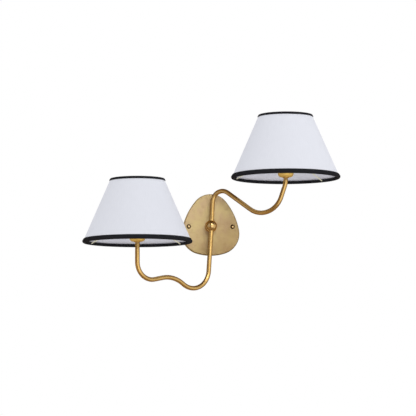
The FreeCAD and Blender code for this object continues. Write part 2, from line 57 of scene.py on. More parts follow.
PLATE_DEPTH = 10.0
SCREW_RADIUS = 2.0
SCREW_SUNK = 1.0           # the length of shank below each screw's head
SCREW_STEPS = 48
DOME_RADIUS = 4.4
DOME_EDGE = 0.2
DOME_RIM = 0.6
DOME_SWELL = 2.4
BOSS_BORE_RADIUS = 5.2
BOSS_RADIUS = 12.0
BOSS_HEIGHT = 8.0
BOSS_ROUNDING = 2.5
SPIGOT_RADIUS = 6.5
SPIGOT_HEIGHT = 2.5
BALL_RADIUS = 11.0
BALL_SEAT_RADIUS = 6.2
BALL_STEPS = 32
TUBE_RADIUS = 4.57
TUBE_START = 5.2           # from the ball's centre

# Each arm leans from the ball in the upright plane of its shade. Its corners are the end of the first run, by
# height, then a place by reach and height, then a height under the neck; bends are their radii.

LAMPS = {
    "lower": {
        "lean": 4.5, "rise": -1, "first_run": 159.4, "middle": (92.7, -103.9), "last_height": -121.6,
        "bends": (39.0, 62.5, 33.7), "fitter_turn": 0.0,
    },
    "upper": {
        "lean": 3.1, "rise": 1, "first_run": 87.7, "middle": (136.2, -4.6), "last_height": 78.5,
        "bends": (21.7, 45.6, 37.4), "fitter_turn": 8.0,
    },
}

# Sizes of a lamp, up from the end of its tube

NECK_BORE_RADIUS = 2.5
PLUG_RADIUS = 3.55
PLUG_LENGTH = 8.0
WAIST_RADIUS = 4.2
WAIST_HEIGHT = 2.5
FLANGE_RADIUS = 6.0
FLANGE_EDGE = 0.4
CUP_BASE = 4.2
STUD_RADIUS = 4.0
STUD_TOP = 15.2
CUP_BORE_RADIUS = 4.3
CUP_HEIGHT = 15.9
CUP_ROUNDING = 6.5
CUP_WALL = 1.0
CUP_BEAD = 0.6             # radius of the bead round the lip
LIP_EDGE = (0.2, 0.3)      # the lip's inner bevel, across and down
CUP_STEPS = (12, 10)       # outside and inside
GLASS_RADIUS = 22.5
GLASS_NECK_RADIUS = 7.4
GLASS_GAP = 0.3            # between cap and glass
GLASS_LIP = ((6.4, -0.2), (6.9, 0.0))    # radius, and height over the shoulder
GLASS_STEPS = 28

# Sizes of a shade, up from the lower edge of its trim

SHADE_HEIGHT = 128.0
BOTTOM_RADIUS = 108.6
TOP_RADIUS = 52.7
SLOPE = (BOTTOM_RADIUS - TOP_RADIUS) / SHADE_HEIGHT
CLOTH_START = 2.6
CLOTH_END_DROP = 0.9
CLOTH_WALL = 0.45
LINER_OUTSIDE = 0.5        # from the outside of the cloth inwards
LINER_INSIDE = 1.0
CLOTH_ROWS = 24
RING_WIRE_RADIUS = 1.3
TRIM_GAP = 0.3
CROWN_FOLD_INSET = 4.0
TAPE_CREASE = 60           # degrees
SHADE_STEPS = 160
CROWN_STEPS = 128
WIRE_COUNT = 3
WIRE_RADIUS = 1.2
WIRE_SIDES = 16
WIRE_START = 19.8
WIRE_BEND_REACH = 27.0
WIRE_BEND_RADIUS = 8.0
WIRE_END_INSET = 0.65
WIRE_END_HEIGHT = 2.4
HUB_HALF_THICKNESS = 0.6

# Outlines of the folded tapes. On the cone: height of the cone's radius, distance outside it, height of the
# point. In the fold: distance outside the fold's wall, height. The crown's heights run down from the top.

HEM_OUTSIDE = (
    (9.0, 0.1, 9.0), (8.8, 0.7, 9.0), (8.1, 1.2, 8.4), (7.0, 1.65, 7.1), (5.6, 2.0, 5.6), (4.2, 2.1, 4.2),
    (2.9, 1.45, 2.8), (1.8, 0.35, 1.6), (0.8, -0.85, 0.7), (0.0, -2.3, 0.15), (0.0, -3.6, 0.0),
)
HEM_FOLD = ((0.6, 0.0), (-0.3, 0.3), (-0.75, 1.2), (-0.75, 5.6), (-0.4, 6.1), (0.0, 6.1), (0.0, 0.95))
HEM_INSIDE = ((0.0, -2.6, 1.0), (2.4, -0.4, 2.4))
CROWN_OUTSIDE = (
    (5.0, 0.1, 5.0), (4.6, 0.8, 4.8), (3.6, 1.3, 3.6), (1.6, 1.3, 1.6), (0.4, 0.8, 0.3), (0.0, -0.2, 0.0),
)
CROWN_FOLD = ((1.4, 0.0), (0.1, 0.3), (-0.1, 1.0), (-0.1, 4.1), (0.2, 4.4), (0.7, 4.3), (0.7, 0.95))
CROWN_INSIDE = ((1.0, 0.1, 0.95),)


# Shape helpers

def arc(centre_r, centre_z, radius, start, end, count):
    """Points of a circle in a turning profile, from start to end in degrees."""
    angles = [math.radians(start + (end - start) * n / count) for n in range(count + 1)]
    return [(centre_r + radius * math.cos(a), centre_z + radius * math.sin(a)) for a in angles]


def turned(points, closed=True, steps=96):
    """A turned shape about Z; points are radius and height in millimetres."""
    bm = bmesh.new()
    verts = [bm.verts.new((r * MM, 0, z * MM)) for r, z in points]
    edges = [bm.edges.new(pair) for pair in zip(verts, verts[1:])]
    if closed:
        edges.append(bm.edges.new((verts[-1], verts[0])))
    bmesh.ops.spin(
        bm, geom=verts + edges, cent=(0, 0, 0), axis=UP, angle=math.tau, steps=steps, use_merge=True
    )
    bmesh.ops.remove_doubles(bm, verts=bm.verts, dist=WELD)
    bmesh.ops.recalc_face_normals(bm, faces=bm.faces)
    return bm


def rod(corners, radii, radius, sides=32, bend_step=6.0):
    """A round rod with straight runs and bends; all sizes are in metres."""
    runs = [b - a for a, b in zip(corners, corners[1:])]
    ways = [run.normalized() for run in runs]
    angles = [a.angle(b) for a, b in zip(ways, ways[1:])]
    tangents = [r * math.tan(angle / 2) for r, angle in zip(radii, angles)]
    bm = bmesh.new()
    turn = UP.rotation_difference(ways[0]).to_matrix().to_4x4()
    place = Matrix.Translation(corners[0]) @ turn
    bmesh.ops.create_circle(bm, cap_ends=True, segments=sides, radius=radius, matrix=place)
    ring = bm.edges[:]
    used = 0.0
    for n, run in enumerate(runs):
        ahead = tangents[n] if n < len(tangents) else 0.0
        made = bmesh.ops.extrude_edge_only(bm, edges=ring)["geom"]
        verts = [g for g in made if isinstance(g, bmesh.types.BMVert)]
        ring = [g for g in made if isinstance(g, bmesh.types.BMEdge)]
        bmesh.ops.translate(bm, verts=verts, vec=ways[n] * (run.length - used - ahead))
        if n < len(tangents):
            axis = ways[n].cross(ways[n + 1]).normalized()
            inward = axis.cross(ways[n]).normalized()
            centre = corners[n + 1] - ways[n] * tangents[n] + inward * radii[n]
            steps = max(2, math.ceil(math.degrees(angles[n]) / bend_step))
            made = bmesh.ops.spin(
                bm, geom=ring, cent=centre, axis=axis, angle=angles[n], steps=steps
            )["geom_last"]
            ring = [g for g in made if isinstance(g, bmesh.types.BMEdge)]
            used = tangents[n]
    bmesh.ops.contextual_create(bm, geom=ring)
    bmesh.ops.remove_doubles(bm, verts=bm.verts, dist=WELD)
    bmesh.ops.recalc_face_normals(bm, faces=bm.faces)
    return bm


def moved(bm, offset=(0, 0, 0), turn=None):
    """Turns a shape by a matrix, then sets it at offset."""
    if turn is not None:
        bmesh.ops.transform(bm, matrix=turn, verts=bm.verts)
    bmesh.ops.translate(bm, verts=bm.verts, vec=Vector(offset))
    return bm


def joined(*shapes):
    """One shape from several."""
    whole = shapes[0]
    for other in shapes[1:]:
        spare = bpy.data.meshes.new("spare")
        other.to_mesh(spare)
        other.free()
        whole.from_mesh(spare)
        bpy.data.meshes.remove(spare)
    return whole


def piece(name, bm, body, finish, replaces=(), crease=32.0):
    """Makes a smooth-shaded object with creases at sharp edges, and puts it on its body."""
    for face in bm.faces:
        face.smooth = True
    for edge in bm.edges:
        if len(edge.link_faces) == 2:
            edge.smooth = edge.calc_face_angle(0.0) < math.radians(crease)
    mesh = bpy.data.meshes.new(name)
    bm.to_mesh(mesh)
    bm.free()
    thing = bpy.data.objects.new(name, mesh)
    bpy.context.scene.collection.objects.link(thing)
    mesh.materials.append(finish.material)
    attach(thing, body)
    if replaces:
        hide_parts(*replaces)
    return thing


# Materials

def add_node(tree, kind, links=None, **values):
    """Adds a node; values go to its settings and sockets, links join sockets or set them to a number."""
    made = tree.nodes.new(kind)
    for key, value in values.items():
        if hasattr(made, key):
            setattr(made, key, value)
        else:
            made.inputs[key.replace("_", " ")].default_value = value
    for socket, source in (links or {}).items():
        if isinstance(source, bpy.types.NodeSocket):
            tree.links.new(source, made.inputs[socket])
        else:
            made.inputs[socket].default_value = source
    return made


def calculated(tree, operation, *operands):
    """The result of a Math node on sockets and numbers."""
    return add_node(tree, "ShaderNodeMath", dict(enumerate(operands)), operation=operation).outputs[0]


def ranged(tree, value, low, high, to_low=0.0, to_high=1.0):
    """A value taken from one range to another."""
    links = {"Value": value, "From Min": low, "From Max": high, "To Min": to_low, "To Max": to_high}
    return add_node(tree, "ShaderNodeMapRange", links).outputs["Result"]


def mixed(tree, amount, first, second):
    """A colour between two others."""
    return add_node(tree, "ShaderNodeMix", {0: amount, 6: first, 7: second}, data_type="RGBA").outputs[2]


def opaque(color):
    """A colour with full alpha, as sockets take it."""
    return (*color, 1)


# Ranges of noise that the effects are drawn from, and stretches of texture space per metre or UV unit

BLOTCH_RANGE = (0.38, 0.66)
SPECK_SCALE = 95.0
SPECK_RANGE = (0.52, 0.78)
BRUSH_STRETCH = (2200.0, 2200.0, 60.0)
BRUSH_RANGE = (0.25, 0.75)
SLUB_STRETCH = (420.0, 9.0, 1.0)

# Painted shade on the plate, darker towards its lower right, with a painted highlight and painted shade on its
# rim; its fall runs down and to the right, in metres

FALL_LEAN = 0.6
PAINTED_SHADE_SCALE = 35.0
PAINTED_SHADE_DRIFT = 0.09         # how far the noise moves the fall
PAINTED_SHADE_FALL = (0.03, 0.12)
PAINTED_SHADE_STRENGTH = 0.7
RIM_FALL = (-0.02, 0.05)   # from the rim's painted highlight to its painted shade
RIM_STRENGTH = 0.8
RIM_METAL = (0.75, 0.4)    # metallic of the face and of the rim


class Finish:
    """A material with one Principled shader and short calls for its nodes."""

    def __init__(self, name, color, roughness, metallic=0.0, **more):
        self.material = bpy.data.materials.new(name)
        self.material.use_nodes = True
        self.tree = self.material.node_tree
        self.shader = self.tree.nodes["Principled BSDF"]
        values = {"Base Color": opaque(color), "Roughness": roughness, "Metallic": metallic, **more}
        for socket, value in values.items():
            self.shader.inputs[socket].default_value = value

    def feed(self, socket, source):
        self.tree.links.new(source, self.shader.inputs[socket])

    def feed_bump(self, height, strength, depth):
        """Bumps the surface by a height; depth is in millimetres."""
        relief = add_node(
            self.tree, "ShaderNodeBump", {"Height": height}, Strength=strength, Distance=depth * MM
        )
        self.feed("Normal", relief.outputs["Normal"])

    def overlay(self, color, mask):
        """Lays a colour over the finish's own colour where the mask is high."""
        own = self.shader.inputs["Base Color"].links[0].from_socket
        self.feed("Base Color", mixed(self.tree, mask, own, color))


def group(name, inputs, outputs):
    """An empty node group with named sockets; returns the group, the sockets it is given and those it gives."""
    tree = bpy.data.node_groups.new(name, "ShaderNodeTree")
    for label, kind, value in inputs:
        socket = tree.interface.new_socket(label, in_out="INPUT", socket_type="NodeSocket" + kind)
        socket.default_value = value
    for label, kind in outputs:
        tree.interface.new_socket(label, in_out="OUTPUT", socket_type="NodeSocket" + kind)
    return tree, tree.nodes.new("NodeGroupInput").outputs, tree.nodes.new("NodeGroupOutput").inputs


def patina_group():
    """Aged metal: slow blotches of three tones, fine brushed lines and a height for the bump."""
    tree, given, out = group(
        "aged brass",
        [
            ("Bright", "Color", (0.72, 0.50, 0.26, 1)), ("Warm", "Color", (0.6, 0.4, 0.25, 1)),
            ("Dark", "Color", (0.3, 0.18, 0.07, 1)), ("Blotch Size", "Float", 18.0), ("Brush", "Float", 0.5),
            ("Wear", "Float", 0.5), ("Smooth", "Float", 0.3), ("Rough", "Float", 0.45),
        ],
        [("Color", "Color"), ("Roughness", "Float"), ("Height", "Float")],
    )
    point = add_node(tree, "ShaderNodeTexCoord").outputs["Object"]
    blotch = add_node(
        tree, "ShaderNodeTexNoise", {"Vector": point, "Scale": given["Blotch Size"]}, Detail=3.0, Roughness=0.55
    )
    tone = mixed(tree, ranged(tree, blotch.outputs["Fac"], *BLOTCH_RANGE), given["Bright"], given["Warm"])
    speck = add_node(
        tree, "ShaderNodeTexNoise", {"Vector": point}, Scale=SPECK_SCALE, Detail=4.0, Roughness=0.6
    )
    spot = ranged(tree, speck.outputs["Fac"], *SPECK_RANGE)
    toned = mixed(tree, calculated(tree, "MULTIPLY", spot, given["Wear"]), tone, given["Dark"])
    stretch = add_node(tree, "ShaderNodeMapping", {"Vector": point}, Scale=BRUSH_STRETCH)
    brushed = add_node(tree, "ShaderNodeTexNoise", {"Vector": stretch.outputs[0]}, Scale=1.0, Detail=2.0)
    lines = brushed.outputs["Fac"]
    tree.links.new(toned, out["Color"])
    tree.links.new(ranged(tree, lines, *BRUSH_RANGE, given["Smooth"], given["Rough"]), out["Roughness"])
    tree.links.new(calculated(tree, "MULTIPLY", lines, given["Brush"]), out["Height"])
    return tree


def weave_group():
    """A plain weave on the piece's own UV map, in threads per unit, with slubs in its colour and height."""
    tree, given, out = group(
        "plain weave",
        [
            ("Color", "Color", (0.8, 0.8, 0.8, 1)), ("Shaded", "Color", (0.7, 0.7, 0.7, 1)),
            ("Threads Round", "Float", 900.0), ("Threads Up", "Float", 180.0), ("Slub", "Float", 0.4),
        ],
        [("Color", "Color"), ("Height", "Float")],
    )
    place = add_node(tree, "ShaderNodeTexCoord").outputs["UV"]
    split = add_node(tree, "ShaderNodeSeparateXYZ", {"Vector": place}).outputs
    waves = []
    for axis, count in (("X", "Threads Round"), ("Y", "Threads Up")):
        turns = calculated(tree, "MULTIPLY", split[axis], given[count])
        waves.append(calculated(tree, "SINE", calculated(tree, "MULTIPLY", turns, math.tau)))
    crossing = calculated(tree, "MULTIPLY", *waves)
    streak = add_node(tree, "ShaderNodeMapping", {"Vector": place}, Scale=SLUB_STRETCH)
    slub = add_node(
        tree, "ShaderNodeTexNoise", {"Vector": streak.outputs[0]}, Scale=1.0, Detail=3.0
    ).outputs["Fac"]
    uneven = calculated(tree, "MULTIPLY", slub, given["Slub"])
    tree.links.new(mixed(tree, slub, given["Color"], given["Shaded"]), out["Color"])
    tree.links.new(calculated(tree, "ADD", crossing, uneven), out["Height"])
    return tree


def grain_group():
    """A fine grain: a roughness between two values and a height for the bump."""
    tree, given, out = group(
        "fine grain",
        [("Scale", "Float", 500.0), ("Smooth", "Float", 0.3), ("Rough", "Float", 0.4)],
        [("Roughness", "Float"), ("Height", "Float")],
    )
    point = add_node(tree, "ShaderNodeTexCoord").outputs["Object"]
    noise = add_node(
        tree, "ShaderNodeTexNoise", {"Vector": point, "Scale": given["Scale"]}, Detail=3.0
    ).outputs["Fac"]
    tree.links.new(ranged(tree, noise, 0.0, 1.0, given["Smooth"], given["Rough"]), out["Roughness"])
    tree.links.new(noise, out["Height"])
    return tree


PATINA = patina_group()
WEAVE = weave_group()
GRAIN = grain_group()
PATINA_RELIEF = 0.1
WEAVE_RELIEF = 0.2
GRAIN_RELIEF = 0.1
TINT_GAIN = 1.5            # a brass's mirror tint over its own colour
GRAIN_SPREAD = 0.08        # roughness to each side of a grained finish's own
LEAST_ROUGH = 0.02
CLOTH_ROUGHNESS = 0.9
CLOTH_MIRROR = 0.12


def brass(name, bright, warm, dark, blotch, brush, wear, bump, shine, metal=1.0):
    """Brass in three tones; shine is its lowest and highest roughness."""
    tint = [min(1.0, part * TINT_GAIN) for part in bright]
    finish = Finish(name, bright, shine[0], metal, **{"Specular Tint": opaque(tint)})
    links = {
        "Bright": opaque(bright), "Warm": opaque(warm), "Dark": opaque(dark), "Blotch Size": blotch,
        "Brush": brush, "Wear": wear, "Smooth": shine[0], "Rough": shine[1],
    }
    aged = add_node(finish.tree, "ShaderNodeGroup", links, node_tree=PATINA).outputs
    finish.feed("Base Color", aged["Color"])
    finish.feed("Roughness", aged["Roughness"])
    finish.feed_bump(aged["Height"], bump, PATINA_RELIEF)
    return finish


def paint_plate_shade(finish, shade_brown, rubbed, roll):
    """Paints shade on the plate, darker slowly towards its lower right; on its rolled rim it paints a
    highlight, in the colour rubbed, to the upper left and shade to the lower right.

    roll is where the rim begins and ends to be of its own colour, in millimetres along Y."""
    tree = finish.tree
    point = add_node(tree, "ShaderNodeTexCoord").outputs["Object"]
    split = add_node(tree, "ShaderNodeSeparateXYZ", {0: point}).outputs
    fall = calculated(tree, "SUBTRACT", calculated(tree, "MULTIPLY", split["X"], FALL_LEAN), split["Z"])
    cloud = add_node(tree, "ShaderNodeTexNoise", {"Vector": point}, Scale=PAINTED_SHADE_SCALE, Detail=3.0)
    drift = calculated(tree, "MULTIPLY_ADD", cloud.outputs["Fac"], PAINTED_SHADE_DRIFT, fall)
    # Painted shade: the face darkens towards its lower right, broken up by noise.
    finish.overlay(opaque(shade_brown), ranged(tree, drift, *PAINTED_SHADE_FALL, to_high=PAINTED_SHADE_STRENGTH))
    # Painted highlight on the rim to the upper left, painted shade on it to the lower right.
    edge = ranged(tree, split["Y"], roll[0] * MM, roll[1] * MM, to_high=RIM_STRENGTH)
    side = ranged(tree, fall, *RIM_FALL)
    finish.overlay(mixed(tree, side, opaque(rubbed), opaque(shade_brown)), edge)
    finish.feed("Metallic", ranged(tree, edge, 0.0, 1.0, *RIM_METAL))


def paint_screw_shade(finish, shade_brown, reach, ring):
    """Paints shade round the edge of each screw dome and leaves its middle as it is; ring is where the painted
    shade begins and is full, in millimetres from the dome's middle."""
    tree = finish.tree
    point = add_node(tree, "ShaderNodeTexCoord").outputs["Object"]
    split = add_node(tree, "ShaderNodeSeparateXYZ", {0: point}).outputs
    off = calculated(tree, "SUBTRACT", calculated(tree, "ABSOLUTE", split["X"]), reach)
    flat = add_node(tree, "ShaderNodeCombineXYZ", {0: off, 1: split["Z"]})
    far = add_node(tree, "ShaderNodeVectorMath", {0: flat.outputs[0]}, operation="LENGTH").outputs["Value"]
    # Painted shade round each dome's edge.
    finish.overlay(opaque(shade_brown), ranged(tree, far, ring[0] * MM, ring[1] * MM))


def cloth(name, color, shaded, slub, bump, threads=(900.0, 180.0)):
    """Woven cloth, matt; threads are counted round the shade and up it."""
    finish = Finish(name, color, CLOTH_ROUGHNESS, **{"Specular IOR Level": CLOTH_MIRROR})
    links = {
        "Color": opaque(color), "Shaded": opaque(shaded), "Threads Round": threads[0],
        "Threads Up": threads[1], "Slub": slub,
    }
    woven = add_node(finish.tree, "ShaderNodeGroup", links, node_tree=WEAVE).outputs
    finish.feed("Base Color", woven["Color"])
    finish.feed_bump(woven["Height"], bump, WEAVE_RELIEF)
    return finish


def grained(name, color, roughness, metallic, scale, bump):
    """A finish with a fine grain in its bump and roughness: enamel, plastic, plated steel, glass."""
    finish = Finish(name, color, roughness, metallic)
    links = {
        "Scale": scale, "Smooth": max(roughness - GRAIN_SPREAD, LEAST_ROUGH), "Rough": roughness + GRAIN_SPREAD,
    }
    grain = add_node(finish.tree, "ShaderNodeGroup", links, node_tree=GRAIN).outputs
    finish.feed("Roughness", grain["Roughness"])
    finish.feed_bump(grain["Height"], bump, GRAIN_RELIEF)
    return finish


screw_low, screw_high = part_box("plate_screws")
screw_reach = (screw_high.x - screw_low.x) / 2 - DOME_RADIUS * MM

plate_brass = brass(
    "brushed plate brass", bright=(0.455, 0.352, 0.172), warm=(0.425, 0.305, 0.178), dark=(0.29, 0.19, 0.09),
    blotch=42.0, brush=0.55, wear=0.45, bump=0.3, shine=(0.36, 0.50),
)
# Painted shade on the plate's face and rim, and a painted highlight on its rim.
paint_plate_shade(plate_brass, shade_brown=(0.215, 0.13, 0.048), rubbed=(0.60, 0.43, 0.16), roll=(-9.8, -8.5))
arm_brass = brass(
    "rubbed tube brass", bright=(0.63, 0.405, 0.145), warm=(0.56, 0.35, 0.12), dark=(0.30, 0.17, 0.06),
    blotch=40.0, brush=0.2, wear=0.1, bump=0.03, shine=(0.20, 0.30),
)
ball_brass = brass(
    "polished ball brass", bright=(0.62, 0.41, 0.17), warm=(0.58, 0.36, 0.14), dark=(0.34, 0.20, 0.07),
    blotch=60.0, brush=0.2, wear=0.25, bump=0.03, shine=(0.09, 0.17),
)
cup_brass = brass(
    "spun cup brass", bright=(0.86, 0.57, 0.16), warm=(0.80, 0.51, 0.135), dark=(0.48, 0.27, 0.09),
    blotch=40.0, brush=0.3, wear=0.2, bump=0.06, shine=(0.38, 0.48), metal=0.5,
)
screw_brass = brass(
    "screw brass", bright=(0.62, 0.44, 0.22), warm=(0.56, 0.38, 0.18), dark=(0.22, 0.12, 0.04),
    blotch=60.0, brush=0.1, wear=0.3, bump=0.03, shine=(0.12, 0.2),
)
# Painted shade round the edge of each screw dome.
paint_screw_shade(screw_brass, shade_brown=(0.10, 0.06, 0.02), reach=screw_reach, ring=(1.6, 2.8))
shade_cloth = cloth(
    "white shade cloth", color=(0.80, 0.815, 0.872), shaded=(0.74, 0.755, 0.812), slub=0.5, bump=0.25
)
liner_card = cloth(
    "shade liner", color=(0.85, 0.85, 0.91), shaded=(0.81, 0.81, 0.87), slub=0.2, bump=0.05
)
ribbon = cloth(
    "black ribbed ribbon", color=(0.007, 0.007, 0.010), shaded=(0.017, 0.017, 0.021), slub=0.5, bump=0.5,
    threads=(1400.0, 8.0),
)

# Grained finishes: name, colour, roughness, metallic, scale of the grain, bump

enamel = grained("pale wire enamel", (0.90, 0.86, 0.64), 0.35, 0.0, 700.0, 0.1)
white_plastic = grained("white holder plastic", (0.82, 0.81, 0.78), 0.28, 0.0, 900.0, 0.05)
zinc = grained("zinc plated steel", (0.66, 0.67, 0.68), 0.34, 1.0, 420.0, 0.12)
green_steel = grained("green screw", (0.05, 0.26, 0.10), 0.35, 0.5, 500.0, 0.1)
bright_brass = grained("bright contact brass", (0.80, 0.62, 0.30), 0.25, 1.0, 600.0, 0.05)
cap_metal = grained("bulb cap metal", (0.80, 0.80, 0.81), 0.25, 1.0, 500.0, 0.06)
black_glass = grained("cap insulator", (0.02, 0.02, 0.025), 0.2, 0.0, 600.0, 0.03)
opal = grained("opal glass", (0.93, 0.93, 0.91), 0.12, 0.0, 60.0, 0.01)


def dress(finish, *nodes):
    """Gives CAD nodes a finish in place of their own."""
    for name in nodes:
        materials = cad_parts[name].data.materials
        materials.clear()
        materials.append(finish.material)


# Wall side

dress(plate_brass, "backplate")
dress(zinc, "mounting_bar", "centre_nipple", "nipple_washer", "nipple_nut")
dress(green_steel, "ground_screw")

dome_curve = (DOME_RADIUS ** 2 + DOME_SWELL ** 2) / (2 * DOME_SWELL)
dome_middle = PLATE_DEPTH + DOME_RIM + DOME_SWELL - dome_curve
dome_start = math.degrees(math.acos(DOME_RADIUS / dome_curve))
head = [
    (0, PLATE_DEPTH - SCREW_SUNK), (SCREW_RADIUS, PLATE_DEPTH - SCREW_SUNK), (SCREW_RADIUS, PLATE_DEPTH),
    (DOME_RADIUS - DOME_EDGE, PLATE_DEPTH), (DOME_RADIUS, PLATE_DEPTH + DOME_EDGE),
    *arc(0, dome_middle, dome_curve, dome_start, 90, ROUNDING_STEPS),
]
heads = [
    moved(turned(head, closed=False, steps=SCREW_STEPS), (side * screw_reach, 0, 0), TO_ROOM)
    for side in (-1, 1)
]
piece("plate_screw_heads", joined(*heads), "wall_unit", screw_brass, ("plate_screws",))

boss_top = PLATE_DEPTH + BOSS_HEIGHT
spigot_top = boss_top + SPIGOT_HEIGHT
boss = [
    (BOSS_BORE_RADIUS, PLATE_DEPTH), (BOSS_RADIUS, PLATE_DEPTH),
    *arc(BOSS_RADIUS - BOSS_ROUNDING, boss_top - BOSS_ROUNDING, BOSS_ROUNDING, 0, 90, ROUNDING_STEPS),
    (SPIGOT_RADIUS, boss_top), (SPIGOT_RADIUS, spigot_top), (BOSS_BORE_RADIUS, spigot_top),
]
piece("round_boss", moved(turned(boss), turn=TO_ROOM), "wall_unit", ball_brass, ("centre_boss",))

ball_centre = Vector((0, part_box("ball_joint")[0].y + BALL_RADIUS * MM, 0))
seat_angle = math.asin(BALL_SEAT_RADIUS / BALL_RADIUS)
ball = [
    (0, -BALL_RADIUS * math.cos(seat_angle)),
    *arc(0, 0, BALL_RADIUS, math.degrees(seat_angle) - 90, 90, BALL_STEPS),
]
piece(
    "arm_ball", moved(turned(ball, closed=False), ball_centre, TO_ROOM), "wall_unit", ball_brass,
    ("ball_joint",),
)


# Lamps

def cone(height):
    """Outside radius of the cloth at a height above the shade's lower edge."""
    return BOTTOM_RADIUS - SLOPE * height


def arm(name, lamp, foot):
    """Tube of one lamp, from inside the ball to the neck at foot."""
    plan = Vector((foot.x, foot.y - ball_centre.y, 0))
    span = plan.length
    plan.normalize()
    lean = math.radians(lamp["lean"])
    way = plan * math.sin(lean) + UP * (lamp["rise"] * math.cos(lean))
    reach, height = lamp["middle"]
    corners = [
        ball_centre + way * TUBE_START * MM,
        ball_centre + way * (lamp["first_run"] * MM / math.cos(lean)),
        ball_centre + plan * reach * MM + UP * height * MM,
        ball_centre + plan * span + UP * lamp["last_height"] * MM,
        foot,
    ]
    bends = [radius * MM for radius in lamp["bends"]]
    shape = rod(corners, bends, TUBE_RADIUS * MM)
    piece(name + "_tube", shape, "wall_unit", arm_brass, (name + "_arm_tube",))


def socket(name, foot):
    """Neck and cup of one lamp."""
    neck = [
        (NECK_BORE_RADIUS, -PLUG_LENGTH), (PLUG_RADIUS, -PLUG_LENGTH), (PLUG_RADIUS, 0), (WAIST_RADIUS, 0),
        (WAIST_RADIUS, WAIST_HEIGHT), (FLANGE_RADIUS - FLANGE_EDGE, WAIST_HEIGHT),
        (FLANGE_RADIUS, WAIST_HEIGHT + FLANGE_EDGE), (FLANGE_RADIUS, CUP_BASE), (STUD_RADIUS, CUP_BASE),
        (STUD_RADIUS, STUD_TOP), (NECK_BORE_RADIUS, STUD_TOP),
    ]
    piece(
        name + "_turned_neck", moved(turned(neck), foot), "wall_unit", arm_brass,
        (name + "_neck",),
    )
    wide = (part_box(name + "_cup")[1].x - foot.x) / MM - CUP_BEAD
    lip = CUP_BASE + CUP_HEIGHT
    middle = (wide - CUP_ROUNDING, CUP_BASE + CUP_ROUNDING)
    cup = [
        (CUP_BORE_RADIUS, CUP_BASE),
        *arc(*middle, CUP_ROUNDING, -90, 0, CUP_STEPS[0]),
        *arc(wide, lip - CUP_BEAD, CUP_BEAD, -90, 90, ROUNDING_STEPS),
        (wide - CUP_WALL + LIP_EDGE[0], lip), (wide - CUP_WALL, lip - LIP_EDGE[1]),
        *arc(*middle, CUP_ROUNDING - CUP_WALL, 0, -90, CUP_STEPS[1]),
        (CUP_BORE_RADIUS, CUP_BASE + CUP_WALL),
    ]
    piece(
        name + "_socket_cup", moved(turned(cup), foot), "wall_unit", cup_brass,
        (name + "_cup",),
    )
    dress(zinc, name + "_lock_nut")
    dress(white_plastic, name + "_lampholder", name + "_clamp_ring")
    dress(bright_brass, name + "_screw_shell", name + "_centre_contact")


def set_uv(thing, edge):
    """A UV map on a turned piece: once round in X, and the shade's height once in Y."""
    mesh = thing.data
    layer = mesh.uv_layers.new(name="round")
    for polygon in mesh.polygons:
        places = [mesh.vertices[mesh.loops[loop].vertex_index].co - edge for loop in polygon.loop_indices]
        turns = [math.atan2(at.x, -at.y) / math.tau % 1.0 for at in places]
        if max(turns) - min(turns) > 0.5:
            turns = [turn + 1.0 if turn < 0.5 else turn for turn in turns]
        for loop, at, turn in zip(polygon.loop_indices, places, turns):
            layer.data[loop].uv = (turn, at.z / (SHADE_HEIGHT * MM))


def tape_outline(outside, folded, inside, fold, start=0.0, sense=1):
    """Outline of a folded tape; the tables' heights run from start, up for a sense of 1 and down for -1."""
    def on_cone(rows):
        return [(cone(start + sense * on) + out, start + sense * height) for on, out, height in rows]

    return on_cone(outside) + [(fold + out, start + sense * height) for out, height in folded] + on_cone(inside)


def shade(name, foot, fitter_turn):
    """Cloth, liner, trims and wires of one shade."""
    body = name + "_shade"
    edge = Vector((foot.x, foot.y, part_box(name + "_bottom_trim")[0].z))
    rise = SHADE_HEIGHT - CLOTH_END_DROP - CLOTH_START
    heights = [CLOTH_START + rise * n / CLOTH_ROWS for n in range(CLOTH_ROWS + 1)]

    def layer(outside, inside):
        outline = [(cone(z) - outside, z) for z in heights] + [(cone(z) - inside, z) for z in reversed(heights)]
        return moved(turned(outline, steps=SHADE_STEPS), edge)

    skin = piece(
        name + "_shade_cloth", layer(0.0, CLOTH_WALL), body, shade_cloth,
        (name + "_shade_panel",),
    )
    liner = piece(
        name + "_shade_liner", layer(LINER_OUTSIDE, LINER_INSIDE), body, liner_card
    )
    ring_radius = (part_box(name + "_bottom_ring")[1].x - foot.x) / MM - RING_WIRE_RADIUS
    tape = tape_outline(HEM_OUTSIDE, HEM_FOLD, HEM_INSIDE, ring_radius - RING_WIRE_RADIUS - TRIM_GAP)
    hem = piece(
        name + "_lower_tape", moved(turned(tape, steps=SHADE_STEPS), edge), body, ribbon,
        (name + "_bottom_trim",), crease=TAPE_CREASE,
    )
    tape = tape_outline(
        CROWN_OUTSIDE, CROWN_FOLD, CROWN_INSIDE, TOP_RADIUS - CROWN_FOLD_INSET, SHADE_HEIGHT, -1
    )
    crown = piece(
        name + "_upper_tape", moved(turned(tape, steps=CROWN_STEPS), edge), body, ribbon,
        (name + "_top_trim",), crease=TAPE_CREASE,
    )
    for thing in (skin, liner, hem, crown):
        set_uv(thing, edge)
    dress(enamel, name + "_top_ring", name + "_bottom_ring", name + "_fitter_hub")
    hub = UP * (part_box(name + "_fitter_hub")[0].z - edge.z + HUB_HALF_THICKNESS * MM)
    wires = []
    for n in range(WIRE_COUNT):
        angle = math.radians(fitter_turn - 90 + 360 / WIRE_COUNT * n)
        out = Vector((math.cos(angle), math.sin(angle), 0)) * MM
        path = [
            out * WIRE_START + hub, out * WIRE_BEND_REACH + hub,
            out * (ring_radius - WIRE_END_INSET) + UP * WIRE_END_HEIGHT * MM,
        ]
        wires.append(rod(path, [WIRE_BEND_RADIUS * MM], WIRE_RADIUS * MM, WIRE_SIDES))
    piece(
        name + "_spider_wires", moved(joined(*wires), edge), body, enamel,
        (name + "_fitter_wires",),
    )


